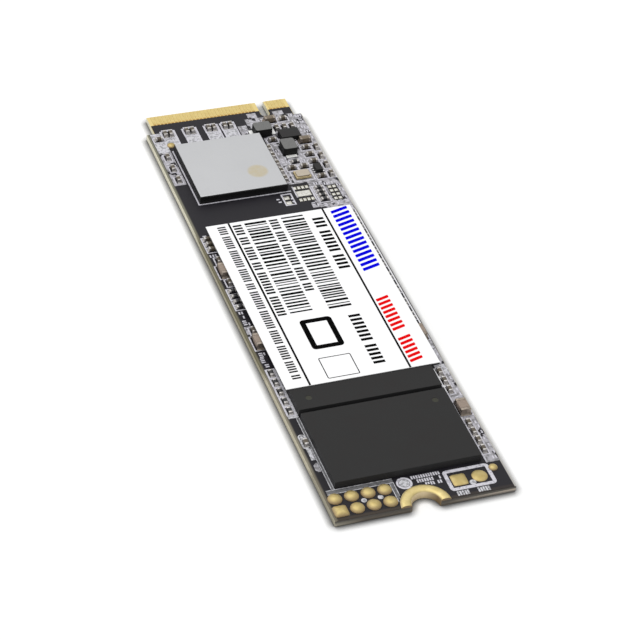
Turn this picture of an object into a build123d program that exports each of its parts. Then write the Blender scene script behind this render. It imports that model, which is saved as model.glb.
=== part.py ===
from build123d import *
import os

# Solid-state storage card, 22 x 80 mm, with its parts on one side. Millimetres.
# The card lies flat: X across, Y along it towards the edge connector, Z up from the underside.

# Board and its coatings
board_width = 22.0
board_length = 80.0
board_thickness = 0.8
mask_thickness = 0.04
mask_edge_inset = 0.05
mask_pad_clearance = 0.06

# Connector tab, its key slot and its contacts
tab_length = 4.0
tab_shoulder = 1.075
tab_bevel = 0.12
key_offset = 6.125
key_width = 1.2
key_depth = 3.5
contact_pitch = 0.5
contact_width = 0.35
contact_end_gap = 0.15
contact_side_gap = 0.5
contact_key_gap = 0.2
top_contact_length = 1.95
bottom_contact_length = 2.45

# Half-round screw hole in the near edge
hole_radius = 1.75
hole_ring_width = 1.2
hole_plating = 0.05

# Gold test pads at the near edge and the two small probe pads
test_pad_radius = 0.78
test_pad_pitch = 2.0
test_pad_rows = 2
test_pad_side_gap = 0.37
test_pad_near_gap = 0.62
link_pad_radius = 0.88
link_pad_square = 1.7
link_pad_pitch = 2.54
link_pad_side_gap = 2.57
link_pad_near_gap = 1.82
probe_pad_radius = 0.47
probe_pad_side_gap = 0.93
probe_pad_near_gap = 3.13
probe_pad_controller_gap = 0.83

# Controller package with a metal lid
controller_size = 12.0
controller_height = 0.98
controller_shoulder_gap = 4.4
controller_side_share = 0.25
lid_thickness = 0.15
lid_inset = 0.08
lid_bevel = 0.05

# Two memory packages and the cache package under the label
memory_left_strip = 1.7
memory_right_strip = 2.3
memory_length = 12.0
memory_height = 0.95
memory_near_gap = 5.05
memory_gap = 0.6
mark_radius = 0.4
mark_depth = 0.04
mark_inset = 1.8
cache_width = 13.0
cache_length = 7.5
cache_label_inset = 0.65

# Label film
label_thickness = 0.1
label_left_gap = 1.33
label_right_gap = 1.08
label_controller_gap = 6.05
label_grip = 8.3

# Power inductors, lying one across and one along the board
inductor_length = 2.4
inductor_width = 1.95
inductor_height = 1.17
inductor_corner = 0.22
inductor_bevel = 0.06
inductor_land_length = 0.55
inductor_land_height = 0.1
inductor_controller_gap = 0.3
inductor_overlap = 0.4
inductor_drop = 7.8

# Power management chip
power_chip_width = 2.75
power_chip_length = 1.95
power_chip_height = 0.72
power_chip_gap = 0.75
power_chip_inductor_gap = 0.8
power_lead_count = 5
power_lead_pitch = 0.5
power_lead_width = 0.25
power_lead_reach = 0.12
power_lead_height = 0.15

# Crystal
crystal_width = 2.05
crystal_length = 1.55
crystal_base_height = 0.32
crystal_can_height = 0.2
crystal_can_inset = 0.1
crystal_can_corner = 0.18
crystal_drop = 13.65
crystal_side_share = 0.64

# Voltage monitor
monitor_width = 0.95
monitor_length = 1.5
monitor_height = 0.55
monitor_drop = 12.85
monitor_lead_count = 3
monitor_lead_pitch = 0.5
monitor_lead_width = 0.25
monitor_lead_reach = 0.3
monitor_lead_height = 0.12

# Chip capacitors in three sizes and chip resistors
terminal_lip = 0.02
small_length = 1.0
small_width = 0.5
small_height = 0.5
small_terminal = 0.24
medium_length = 1.5
medium_width = 0.8
medium_height = 0.75
medium_terminal = 0.32
bulk_length = 2.1
bulk_width = 1.25
bulk_label_clearance = 0.1
bulk_terminal = 0.42
resistor_height = 0.35

# Rows of small parts beside the connector and the controller, measured down from the shoulder
coupling_drop = 0.6
coupling_side_gap = 2.8
coupling_group_pitch = 3.04
coupling_last_pitch = 2.32
coupling_group_count = 4
coupling_pair_pitch = 0.77
slot_row_drop = 0.8
slot_row_step = 1.9
corner_drop = 1.6
flank_drop = 5.7
flank_pitch = 2.55
flank_count = 3
inner_column_gap = 0.5
inner_column_drop = 7.0
inner_column_pitch = 1.75
inner_column_count = 5
inner_part_drop = 5.25
inner_part_step = 1.1
outer_column_gap = 2.05
outer_column_drop = 7.9
outer_column_pitch = 1.6
outer_column_count = 3
outer_part_drop = 6.4
outer_part_step = 0.35
outer_low_drop = 14.5
rim_column_gap = 0.65
rim_column_drop = 8.1
rim_column_pitch = 2.05
rim_column_count = 4
far_row_gap = 0.6
far_row_pitch = 1.1
far_row_count = 3
damping_drop = 10.6
load_drop = 11.9
load_pitch = 1.7

# Lands of footprints that carry no part, between the controller and the label
spare_drop = 17.4
spare_step = 1.4
spare_pad_width = 1.8
spare_pad_length = 1.1
spare_lead_width = 0.3
spare_lead_length = 0.55
spare_lead_pitch = 0.55
spare_lead_count = 4
spare_lead_rows_pitch = 2.6
array_land_width = 0.36
array_land_length = 0.45
array_column_pitch = 0.62
array_row_pitch = 0.85
array_row_count = 4
array_side_gap = 1.5
array_drop = 18.1
pair_land_size = 0.62
pair_land_pitch = 1.05
pair_side_inset = 0.65
pair_controller_gap = 2.0
ladder_drop = 16.8
ladder_pitch = 0.85
ladder_count = 4

# Columns of small parts along the edges of the board
bank_side_gap = 1.2
bank_drop = 1.45
bank_pitch = 1.04
bank_count = 3
bulk_left_gap = 0.68
bulk_label_drop = 7.1
bulk_memory_gap = 0.6
bulk_side_part_gap = 0.7
ladder_bulk_gap = 2.65
ladder_clearance = 7.8
memory_column_gap = 0.95
memory_column_drop = 3.55
memory_column_pitch = 1.72
memory_column_margin = 3.2
single_drop = 4.1
bulk_right_gap = 0.45
bulk_right_drop = 2.1
right_memory_gap = 1.35
right_memory_pitch = 1.53
right_memory_lead = 1.1
right_memory_margin = 0.3
right_upper_drop = 9.0
right_upper_pitch = 1.65
right_upper_count = 3
right_label_gap = 0.75
right_label_pitch = 2.7

# Reference lines and heights
near_edge = -board_length / 2
far_edge = board_length / 2
left_edge = -board_width / 2
right_edge = board_width / 2
shoulder = far_edge - tab_length
tab_width = board_width - 2 * tab_shoulder
laminate_thickness = board_thickness - 2 * mask_thickness
memory_top = board_thickness + memory_height
ring_radius = hole_radius + hole_ring_width
bulk_height = memory_height - bulk_label_clearance

controller_left = left_edge + (board_width - controller_size) * controller_side_share
controller_right = controller_left + controller_size
controller_far = shoulder - controller_shoulder_gap
controller_near = controller_far - controller_size
controller_x = (controller_left + controller_right) / 2
controller_y = (controller_near + controller_far) / 2

memory_width = board_width - memory_left_strip - memory_right_strip
memory_x = (memory_left_strip - memory_right_strip) / 2
memory_2_near = near_edge + memory_near_gap
memory_2_far = memory_2_near + memory_length
memory_1_near = memory_2_far + memory_gap
memory_1_far = memory_1_near + memory_length
memory_1_y = (memory_1_near + memory_1_far) / 2
memory_2_y = (memory_2_near + memory_2_far) / 2

label_far = controller_near - label_controller_gap
label_near = memory_1_far - label_grip
label_width = board_width - label_left_gap - label_right_gap
label_x = (label_left_gap - label_right_gap) / 2
cache_y = label_far - cache_label_inset - cache_length / 2

inner_column = controller_right + inner_column_gap
outer_column = right_edge - outer_column_gap
middle_column = (inner_column + outer_column) / 2
flank_column = (left_edge + controller_left) / 2
monitor_y = shoulder - monitor_drop
crystal_left_limit = inner_column + small_width / 2
crystal_right_limit = outer_column - monitor_width / 2 - monitor_lead_reach
crystal_room = crystal_right_limit - crystal_left_limit - crystal_width
crystal_x = crystal_left_limit + crystal_side_share * crystal_room + crystal_width / 2
crystal_y = shoulder - crystal_drop

# Inductor 1 lies across, beyond the controller's corner; inductor 2 lies along the middle column
inductor_1_x = controller_right - inductor_overlap + inductor_length / 2
inductor_1_y = controller_far + inductor_controller_gap + inductor_width / 2
inductor_2_y = shoulder - inductor_drop
power_chip_x = inductor_1_x + inductor_length / 2 + power_chip_gap + power_chip_width / 2
power_chip_y = inductor_2_y + (inductor_length + power_chip_length) / 2 + power_chip_inductor_gap

laminate_base = Plane.XY.offset(mask_thickness)
laminate_face = Plane.XY.offset(board_thickness - mask_thickness)
board_face = Plane.XY.offset(board_thickness)

os.makedirs("parts", exist_ok=True)


def save(piece, name):
    piece.part.label = name
    export_step(piece.part, f"parts/{name}.step")


def at(x, y, turn=0):
    return Location((x, y, 0), (0, 0, turn))


def column(x, first_y, pitch, count, turn=0):
    return [at(x, first_y - step * pitch, turn) for step in range(count)]


# Outline of the board: the card, its connector tab and the two shoulders
def board_outline(inset, tab_end):
    half_board = board_width / 2 - inset
    half_tab = tab_width / 2 - inset
    near = near_edge + inset
    step = shoulder - inset
    with BuildLine() as outline:
        Polyline(
            (0, near),
            (half_board, near),
            (half_board, step),
            (half_tab, step),
            (half_tab, tab_end),
            (0, tab_end),
        )
        mirror(about=Plane.YZ)
    make_face(outline.edges())


# Key slot, open at the end of the tab and round at its bottom
def cut_key_slot(grow):
    with Locations((key_offset, far_edge)):
        SlotOverall(2 * (key_depth + grow), key_width + 2 * grow, rotation=90, mode=Mode.SUBTRACT)


def cut_screw_hole(radius):
    with Locations((0, near_edge)):
        Circle(radius, mode=Mode.SUBTRACT)


# Board laminate, with a lead-in bevel on both sides of the connector edge
with BuildPart() as pcb_laminate:
    with BuildSketch(laminate_base):
        board_outline(0, far_edge)
        cut_key_slot(0)
        cut_screw_hole(hole_radius + hole_plating)
    extrude(amount=laminate_thickness)
    connector_edges = pcb_laminate.edges().filter_by(Axis.X).group_by(Axis.Y)[-1]
    chamfer(connector_edges, tab_bevel)
save(pcb_laminate, "pcb_laminate")


# Contacts stand at one pitch, the two sides staggered by half of it, with none beside the key slot
def contact_columns(stagger):
    reach = tab_width / 2 - contact_side_gap
    key_keep = (key_width + contact_width) / 2 + contact_key_gap
    half_count = int(reach / contact_pitch) + 1
    columns = [(step + stagger) * contact_pitch for step in range(-half_count, half_count)]
    return [x for x in columns if abs(x) <= reach and abs(x - key_offset) >= key_keep]


def contact_row(stagger, length):
    y = far_edge - contact_end_gap - length / 2
    with Locations(*[(x, y) for x in contact_columns(stagger)]):
        Rectangle(contact_width, length)


with BuildPart() as edge_contacts_top:
    with BuildSketch(laminate_face):
        contact_row(1 / 2, top_contact_length)
    extrude(amount=mask_thickness)
save(edge_contacts_top, "edge_contacts_top")

with BuildPart() as edge_contacts_bottom:
    with BuildSketch(Plane.XY):
        contact_row(0, bottom_contact_length)
    extrude(amount=mask_thickness)
save(edge_contacts_bottom, "edge_contacts_bottom")

# Plating of the screw hole: a half spool with a ring on each face and a thin wall between them
spool_plane = Plane(origin=(0, near_edge, 0), x_dir=(1, 0, 0), z_dir=(0, -1, 0))
with BuildPart() as mounting_hole_plating:
    with BuildSketch(spool_plane):
        with BuildLine():
            wall = hole_radius + hole_plating
            ring_base = board_thickness - mask_thickness
            Polyline(
                (hole_radius, 0),
                (ring_radius, 0),
                (ring_radius, mask_thickness),
                (wall, mask_thickness),
                (wall, ring_base),
                (ring_radius, ring_base),
                (ring_radius, board_thickness),
                (hole_radius, board_thickness),
                close=True,
            )
        make_face()
    revolve(axis=Axis((0, near_edge, 0), (0, 0, 1)), revolution_arc=180)
save(mounting_hole_plating, "mounting_hole_plating")


# Gold pads. Each set is drawn once for the pads and once, grown by a clearance, for the mask openings
def draw_test_pads(grow, mode):
    room = board_width / 2 - test_pad_side_gap - ring_radius - 2 * test_pad_radius
    columns = int(room / test_pad_pitch) + 1
    first_x = left_edge + test_pad_side_gap + test_pad_radius
    first_y = near_edge + test_pad_near_gap + test_pad_radius
    places = [
        (first_x + step * test_pad_pitch, first_y + row * test_pad_pitch)
        for step in range(columns)
        for row in range(test_pad_rows)
    ]
    with Locations(places[0]):
        Rectangle(2 * (test_pad_radius + grow), 2 * (test_pad_radius + grow), mode=mode)
    with Locations(*places[1:]):
        Circle(test_pad_radius + grow, mode=mode)


def draw_link_pads(grow, mode):
    round_x = right_edge - link_pad_side_gap - link_pad_radius
    y = near_edge + link_pad_near_gap + link_pad_radius
    with Locations((round_x - link_pad_pitch, y)):
        Rectangle(link_pad_square + 2 * grow, link_pad_square + 2 * grow, mode=mode)
    with Locations((round_x, y)):
        Circle(link_pad_radius + grow, mode=mode)


def draw_probe_pads(grow, mode):
    near_pad = (
        right_edge - probe_pad_side_gap - probe_pad_radius,
        near_edge + probe_pad_near_gap + probe_pad_radius,
    )
    far_pad = (controller_left, controller_far + probe_pad_controller_gap + probe_pad_radius)
    with Locations(near_pad, far_pad):
        Circle(probe_pad_radius + grow, mode=mode)


# Tinned lands of a spare chip footprint, a spare array and a spare two-terminal part
def draw_spare_lands(grow, mode):
    spare_x = inner_column + spare_step
    with Locations((spare_x, shoulder - spare_drop)):
        Rectangle(spare_pad_width + 2 * grow, spare_pad_length + 2 * grow, mode=mode)
        with GridLocations(spare_lead_pitch, spare_lead_rows_pitch, spare_lead_count, 2):
            Rectangle(spare_lead_width + 2 * grow, spare_lead_length + 2 * grow, mode=mode)
    with Locations((right_edge - array_side_gap, shoulder - array_drop)):
        with GridLocations(array_column_pitch, array_row_pitch, 2, array_row_count):
            Rectangle(array_land_width + 2 * grow, array_land_length + 2 * grow, mode=mode)
    with Locations((controller_right - pair_side_inset, controller_near - pair_controller_gap)):
        with GridLocations(0, pair_land_pitch, 1, 2):
            Rectangle(pair_land_size + 2 * grow, pair_land_size + 2 * grow, mode=mode)


with BuildPart() as test_pads:
    with BuildSketch(laminate_face):
        draw_test_pads(0, Mode.ADD)
    extrude(amount=mask_thickness)
save(test_pads, "test_pads")

with BuildPart() as link_pads:
    with BuildSketch(laminate_face):
        draw_link_pads(0, Mode.ADD)
    extrude(amount=mask_thickness)
save(link_pads, "link_pads")

with BuildPart() as probe_pads:
    with BuildSketch(laminate_face):
        draw_probe_pads(0, Mode.ADD)
    extrude(amount=mask_thickness)
save(probe_pads, "probe_pads")

with BuildPart() as spare_lands:
    with BuildSketch(laminate_face):
        draw_spare_lands(0, Mode.ADD)
    extrude(amount=mask_thickness)
save(spare_lands, "spare_lands")

# Solder mask on both faces, open at the pads, the screw hole's ring and the contacts
with BuildPart() as solder_mask_top:
    with BuildSketch(laminate_face):
        contact_start = far_edge - contact_end_gap - top_contact_length
        board_outline(mask_edge_inset, contact_start - mask_pad_clearance)
        cut_key_slot(mask_edge_inset)
        cut_screw_hole(ring_radius + mask_pad_clearance)
        draw_test_pads(mask_pad_clearance, Mode.SUBTRACT)
        draw_link_pads(mask_pad_clearance, Mode.SUBTRACT)
        draw_probe_pads(mask_pad_clearance, Mode.SUBTRACT)
        draw_spare_lands(mask_pad_clearance, Mode.SUBTRACT)
    extrude(amount=mask_thickness)
save(solder_mask_top, "solder_mask_top")

with BuildPart() as solder_mask_bottom:
    with BuildSketch(Plane.XY):
        contact_start = far_edge - contact_end_gap - bottom_contact_length
        board_outline(mask_edge_inset, contact_start - mask_pad_clearance)
        cut_key_slot(mask_edge_inset)
        cut_screw_hole(ring_radius + mask_pad_clearance)
    extrude(amount=mask_thickness)
save(solder_mask_bottom, "solder_mask_bottom")


# Controller: moulded body and metal lid
with BuildPart() as controller_body:
    with BuildSketch(board_face):
        with Locations((controller_x, controller_y)):
            Rectangle(controller_size, controller_size)
    extrude(amount=controller_height)
save(controller_body, "controller_body")

with BuildPart() as controller_lid:
    lid_size = controller_size - 2 * lid_inset
    with BuildSketch(Plane.XY.offset(board_thickness + controller_height)):
        with Locations((controller_x, controller_y)):
            Rectangle(lid_size, lid_size)
    extrude(amount=lid_thickness)
    chamfer(controller_lid.faces().sort_by(Axis.Z)[-1].edges(), lid_bevel)
save(controller_lid, "controller_lid")


# Memory package with its round first-pin mark moulded into the top
def memory_package(y, mark_x, mark_y):
    with BuildPart() as package:
        with BuildSketch(board_face):
            with Locations((memory_x, y)):
                Rectangle(memory_width, memory_length)
        extrude(amount=memory_height)
        with BuildSketch(Plane.XY.offset(memory_top)):
            with Locations((mark_x, mark_y)):
                Circle(mark_radius)
        extrude(amount=-mark_depth, mode=Mode.SUBTRACT)
    return package


memory_left = memory_x - memory_width / 2
memory_right = memory_x + memory_width / 2
memory_chip_1 = memory_package(memory_1_y, memory_left + mark_inset, memory_1_near + mark_inset)
save(memory_chip_1, "memory_chip_1")
memory_chip_2 = memory_package(memory_2_y, memory_right - mark_inset, memory_2_far - mark_inset)
save(memory_chip_2, "memory_chip_2")

# Cache package, as tall as the memory so that the label lies level on both
with BuildPart() as cache_chip:
    with BuildSketch(board_face):
        with Locations((0, cache_y)):
            Rectangle(cache_width, cache_length)
    extrude(amount=memory_height)
save(cache_chip, "cache_chip")

# Label film on memory chip 1 and the cache chip
with BuildPart() as label_film:
    with BuildSketch(Plane.XY.offset(memory_top)):
        with Locations((label_x, (label_near + label_far) / 2)):
            Rectangle(label_width, label_far - label_near)
    extrude(amount=label_thickness)
save(label_film, "label_film")

# Power inductors: ferrite cores and the tinned lands at their ends
inductor_places = [at(inductor_1_x, inductor_1_y), at(middle_column, inductor_2_y, 90)]
with BuildPart() as inductor_cores:
    with BuildSketch(board_face) as core_outline:
        with Locations(*inductor_places):
            Rectangle(inductor_length, inductor_width)
        chamfer(core_outline.vertices(), inductor_corner)
    extrude(amount=inductor_height)
    chamfer(inductor_cores.faces().group_by(Axis.Z)[-1].edges(), inductor_bevel)
save(inductor_cores, "inductor_cores")

with BuildPart() as inductor_terminals:
    with BuildSketch(board_face):
        with Locations(*inductor_places):
            with GridLocations(inductor_length + inductor_land_length, 0, 2, 1):
                Rectangle(inductor_land_length, inductor_width - 2 * inductor_corner)
    extrude(amount=inductor_land_height)
save(inductor_terminals, "inductor_terminals")

# Power management chip and the ends of its leads
with BuildPart() as power_chip:
    with BuildSketch(board_face):
        with Locations((power_chip_x, power_chip_y)):
            Rectangle(power_chip_width, power_chip_length)
    extrude(amount=power_chip_height)
save(power_chip, "power_chip")

with BuildPart() as power_chip_leads:
    with BuildSketch(board_face):
        with Locations((power_chip_x, power_chip_y)):
            lead_rows = power_chip_length + power_lead_reach
            with GridLocations(power_lead_pitch, lead_rows, power_lead_count, 2):
                Rectangle(power_lead_width, power_lead_reach)
    extrude(amount=power_lead_height)
save(power_chip_leads, "power_chip_leads")

# Crystal: ceramic base and metal can
with BuildPart() as crystal_base:
    with BuildSketch(board_face):
        with Locations((crystal_x, crystal_y)):
            Rectangle(crystal_width, crystal_length)
    extrude(amount=crystal_base_height)
save(crystal_base, "crystal_base")

with BuildPart() as crystal_can:
    with BuildSketch(Plane.XY.offset(board_thickness + crystal_base_height)) as can_outline:
        with Locations((crystal_x, crystal_y)):
            can_width = crystal_width - 2 * crystal_can_inset
            can_length = crystal_length - 2 * crystal_can_inset
            Rectangle(can_width, can_length)
        chamfer(can_outline.vertices(), crystal_can_corner)
    extrude(amount=crystal_can_height)
save(crystal_can, "crystal_can")

# Voltage monitor and its leads
with BuildPart() as monitor_chip:
    with BuildSketch(board_face):
        with Locations((outer_column, monitor_y)):
            Rectangle(monitor_width, monitor_length)
    extrude(amount=monitor_height)
save(monitor_chip, "monitor_chip")

with BuildPart() as monitor_leads:
    with BuildSketch(board_face):
        with Locations((outer_column, monitor_y)):
            lead_columns = monitor_width + monitor_lead_reach
            with GridLocations(lead_columns, monitor_lead_pitch, 2, monitor_lead_count):
                Rectangle(monitor_lead_reach, monitor_lead_width)
    extrude(amount=monitor_lead_height)
save(monitor_leads, "monitor_leads")


# Chip parts: a ceramic body between two end terminals
def chip_parts(name, places, length, width, height, terminal):
    with BuildPart() as bodies:
        with BuildSketch(board_face):
            with Locations(*places):
                Rectangle(length - 2 * terminal, width - 2 * terminal_lip)
        extrude(amount=height - terminal_lip)
    save(bodies, f"{name}_bodies")
    with BuildPart() as terminals:
        with BuildSketch(board_face):
            with Locations(*places):
                with GridLocations(length - terminal, 0, 2, 1):
                    Rectangle(terminal, width)
        extrude(amount=height)
    save(terminals, f"{name}_terminals")


# Bulk capacitors stand near the edges, two along the left side and two along the right
bulk_left_x = left_edge + bulk_left_gap + bulk_width / 2
bulk_right_x = right_edge - bulk_right_gap - bulk_width / 2
bulk_far_y = label_far - bulk_label_drop - bulk_length / 2
bulk_near_y = memory_1_far + bulk_memory_gap + bulk_length / 2
bulk_beside_memory = memory_2_far - bulk_right_drop - bulk_length / 2
bulk_beside_label = memory_1_far - bulk_memory_gap - bulk_length / 2
bulk_capacitors = [
    at(bulk_left_x, bulk_far_y, 90),
    at(bulk_left_x, bulk_near_y, 90),
    at(bulk_right_x, bulk_beside_memory, 90),
    at(bulk_right_x, bulk_beside_label, 90),
]
chip_parts("bulk_capacitor", bulk_capacitors, bulk_length, bulk_width, bulk_height, bulk_terminal)

# Medium capacitors: one below the key slot, one between the power chip and the outer column
medium_capacitors = [
    at(key_offset, shoulder - slot_row_drop),
    at(outer_column + outer_part_step, shoulder - outer_part_drop),
]
chip_parts(
    "medium_capacitor", medium_capacitors, medium_length, medium_width, medium_height, medium_terminal
)

# Small capacitors: pairs at the connector, rows in the power supply, banks along the edges
coupling_first = left_edge + coupling_side_gap
coupling_groups = [coupling_first + step * coupling_group_pitch for step in range(coupling_group_count - 1)]
coupling_groups.append(coupling_groups[-1] + coupling_last_pitch)
coupling_capacitors = [
    at(group + side, shoulder - coupling_drop, 90)
    for group in coupling_groups
    for side in (-coupling_pair_pitch / 2, coupling_pair_pitch / 2)
]
far_row_y = power_chip_y + power_chip_length / 2 + far_row_gap + small_length / 2
far_row_first = power_chip_x - far_row_pitch * (far_row_count - 1) / 2
supply_capacitors = [
    *[at(far_row_first + step * far_row_pitch, far_row_y, 90) for step in range(far_row_count)],
    at(key_offset + slot_row_step, shoulder - slot_row_drop),
    at(inner_column + inner_part_step, shoulder - inner_part_drop),
    *column(inner_column, shoulder - inner_column_drop, inner_column_pitch, inner_column_count, 90),
    *column(outer_column, shoulder - outer_column_drop, outer_column_pitch, outer_column_count),
    at(outer_column, shoulder - outer_low_drop),
    *column(
        right_edge - rim_column_gap, shoulder - rim_column_drop, rim_column_pitch, rim_column_count, 90
    ),
    at(middle_column - load_pitch / 2, shoulder - load_drop),
    at(middle_column + load_pitch / 2, shoulder - load_drop),
]
flank_capacitors = [
    at(flank_column, shoulder - corner_drop),
    *column(flank_column, shoulder - flank_drop, flank_pitch, flank_count, 90),
]
bank_x = left_edge + bank_side_gap
bulk_part_step = (bulk_length + small_length) / 2 + bulk_side_part_gap
edge_capacitors = [
    *column(bank_x, label_far - bank_drop, bank_pitch, bank_count),
    at(bulk_left_x, bulk_far_y + bulk_part_step, 90),
    at(bulk_left_x, bulk_far_y - bulk_part_step, 90),
    at(bulk_left_x, bulk_near_y + bulk_part_step, 90),
    at(left_edge + memory_column_gap, memory_2_far - single_drop, 90),
]
right_memory_first = bulk_beside_memory - bulk_length / 2 - right_memory_lead - small_length / 2
right_memory_room = right_memory_first - memory_2_near - right_memory_margin
right_memory_count = int(right_memory_room / right_memory_pitch) + 1
right_memory_x = right_edge - right_memory_gap
right_capacitors = [
    *column(right_memory_x, right_memory_first, right_memory_pitch, right_memory_count, 90),
    *column(
        right_memory_x, memory_1_far - right_upper_drop, right_upper_pitch, right_upper_count, 90
    ),
]
small_capacitors = (
    coupling_capacitors + supply_capacitors + flank_capacitors + edge_capacitors + right_capacitors
)
chip_parts(
    "small_capacitor", small_capacitors, small_length, small_width, small_height, small_terminal
)

# Resistors: the ladders beside the label and the memory, and the one above the crystal
ladder_first = bulk_far_y - bulk_length / 2 - ladder_bulk_gap - small_width / 2
ladder_room = bulk_far_y - bulk_near_y - bulk_length - ladder_clearance
memory_column_count = int((memory_length - memory_column_margin) / memory_column_pitch)
right_label_room = label_far - bulk_beside_label - bulk_length / 2 - small_length
right_label_count = int(right_label_room / right_label_pitch) + 1
spare_right = inner_column + spare_step + spare_pad_width / 2
array_left = right_edge - array_side_gap - (array_column_pitch + array_land_width) / 2
resistors = [
    at(middle_column, shoulder - damping_drop),
    *column((spare_right + array_left) / 2, shoulder - ladder_drop, ladder_pitch, ladder_count),
    *column(bank_x, ladder_first, bank_pitch, int(ladder_room / bank_pitch)),
    *column(
        left_edge + memory_column_gap,
        memory_1_far - memory_column_drop - small_length / 2,
        memory_column_pitch,
        memory_column_count,
        90,
    ),
    *column(
        right_edge - right_label_gap,
        label_far - small_length / 2,
        right_label_pitch,
        right_label_count,
        90,
    ),
]
chip_parts("resistor", resistors, small_length, small_width, resistor_height, small_terminal)
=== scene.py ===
import math
import random

import bmesh
import bpy
from mathutils import Matrix, Quaternion, Vector


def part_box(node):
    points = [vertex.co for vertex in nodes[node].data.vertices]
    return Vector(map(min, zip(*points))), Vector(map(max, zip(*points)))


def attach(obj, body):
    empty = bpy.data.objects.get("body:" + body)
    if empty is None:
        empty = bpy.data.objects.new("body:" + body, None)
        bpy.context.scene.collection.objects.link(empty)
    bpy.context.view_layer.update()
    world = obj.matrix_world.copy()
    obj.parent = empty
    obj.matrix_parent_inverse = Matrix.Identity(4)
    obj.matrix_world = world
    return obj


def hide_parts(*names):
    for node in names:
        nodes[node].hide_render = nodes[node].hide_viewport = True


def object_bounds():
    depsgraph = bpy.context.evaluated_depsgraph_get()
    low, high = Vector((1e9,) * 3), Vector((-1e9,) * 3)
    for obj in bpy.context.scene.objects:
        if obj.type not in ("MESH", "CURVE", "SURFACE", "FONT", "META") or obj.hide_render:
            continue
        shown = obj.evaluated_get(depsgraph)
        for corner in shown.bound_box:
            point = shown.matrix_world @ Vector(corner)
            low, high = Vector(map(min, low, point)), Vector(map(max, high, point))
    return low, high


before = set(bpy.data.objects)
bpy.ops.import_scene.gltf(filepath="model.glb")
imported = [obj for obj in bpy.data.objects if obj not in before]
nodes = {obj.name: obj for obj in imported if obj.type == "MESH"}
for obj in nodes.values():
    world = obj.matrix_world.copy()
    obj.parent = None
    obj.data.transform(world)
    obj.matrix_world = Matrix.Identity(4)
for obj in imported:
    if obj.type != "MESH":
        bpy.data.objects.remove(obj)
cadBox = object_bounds()  # box of the solids, before anything is dressed
mm = 0.001
weldGap = 1e-7  # metres
flatAngle, sharpAngle = math.radians(1), math.radians(25)  # faces are joined below, edges rounded above
roundSteps = 32  # sides of a round pad or print
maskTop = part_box("solder_mask_top")[1].z
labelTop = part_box("label_film")[1].z
drawn = random.Random(22)  # bar widths and the places of small marks
print("frame loaded:", len(nodes), "nodes")


# Meshes: small helpers that the pieces below share

def finishPiece(name, bm, finish, stands=(), smoothAngle=35):
    bmesh.ops.recalc_face_normals(bm, faces=bm.faces[:])
    mesh = bpy.data.meshes.new(name)
    bm.to_mesh(mesh)
    bm.free()
    mesh.shade_smooth()
    mesh.set_sharp_from_angle(angle=math.radians(smoothAngle))
    mesh.materials.append(finish)
    piece = bpy.data.objects.new(name, mesh)
    bpy.context.scene.collection.objects.link(piece)
    piece.modifiers.new("weighted", "WEIGHTED_NORMAL").keep_sharp = True  # flats stay flat beside soft edges
    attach(piece, "root")
    if stands:
        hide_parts(*stands)


def mergedCopy(nodeNames):  # the loose triangles of some nodes, joined into closed solids
    bm = bmesh.new()
    for nodeName in nodeNames:
        bm.from_mesh(nodes[nodeName].data)
    bmesh.ops.remove_doubles(bm, verts=bm.verts[:], dist=weldGap)
    return bm


def corners(points):  # lowest and highest corner of the box round some points
    low = Vector([min(point[i] for point in points) for i in range(3)])
    high = Vector([max(point[i] for point in points) for i in range(3)])
    return low, high


def solidBoxes(nodeName):  # lowest and highest corner of each separate solid in a node
    bm = mergedCopy([nodeName])
    left = set(bm.verts)
    boxes = []
    while left:
        grown, front = set(), [left.pop()]
        while front:
            vert = front.pop()
            grown.add(vert)
            for edge in vert.link_edges:
                other = edge.other_vert(vert)
                if other in left:
                    left.remove(other)
                    front.append(other)
        boxes.append(corners([vert.co for vert in grown]))
    bm.free()
    return sorted(boxes, key=lambda box: tuple(round(value, 7) for value in box[0]))


def roundOff(bm, geom, radius, segments, affect):
    bmesh.ops.bevel(
        bm, geom=geom, offset=radius * mm, offset_type="OFFSET", segments=segments,
        profile=0.5, affect=affect, material=-1, clamp_overlap=True,
    )


def softenedPiece(name, nodeNames, radius, segments, finish):  # nodes with their sharp edges rounded
    bm = mergedCopy(nodeNames)
    bmesh.ops.dissolve_limit(bm, angle_limit=flatAngle, verts=bm.verts[:], edges=bm.edges[:])
    sharp = [edge for edge in bm.edges if edge.is_manifold and edge.calc_face_angle() > sharpAngle]
    roundOff(bm, sharp, radius, segments, "EDGES")
    finishPiece(name, bm, finish, nodeNames)


def joinInto(bm, part):  # adds a finished part to a piece
    mesh = bpy.data.meshes.new("part")
    part.to_mesh(mesh)
    part.free()
    bm.from_mesh(mesh)
    bpy.data.meshes.remove(mesh)


def layOn(bm, sheet, rise):  # thickens a flat sheet upwards and adds it to a piece
    sheet.normal_update()
    if next(iter(sheet.faces)).normal.z < 0:
        bmesh.ops.reverse_faces(sheet, faces=sheet.faces[:])
    bmesh.ops.solidify(sheet, geom=sheet.faces[:], thickness=-rise * mm)
    joinInto(bm, sheet)


def roundedSheet(size, corner, segments):  # a flat sheet about the origin, its corners rounded
    sheet = bmesh.new()
    bmesh.ops.create_grid(sheet, x_segments=1, y_segments=1, size=0.5)
    bmesh.ops.scale(sheet, vec=(size.x, size.y, 1), verts=sheet.verts[:])
    if corner:
        roundOff(sheet, sheet.verts[:], corner, segments, "VERTICES")
    return sheet


def hollow(sheet, line):  # leaves only a line along the rim of a sheet
    rim = bmesh.ops.inset_region(
        sheet, faces=sheet.faces[:], thickness=line * mm, use_boundary=True, use_even_offset=True
    )["faces"]
    bmesh.ops.delete(sheet, geom=[face for face in sheet.faces if face not in rim], context="FACES")


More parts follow.
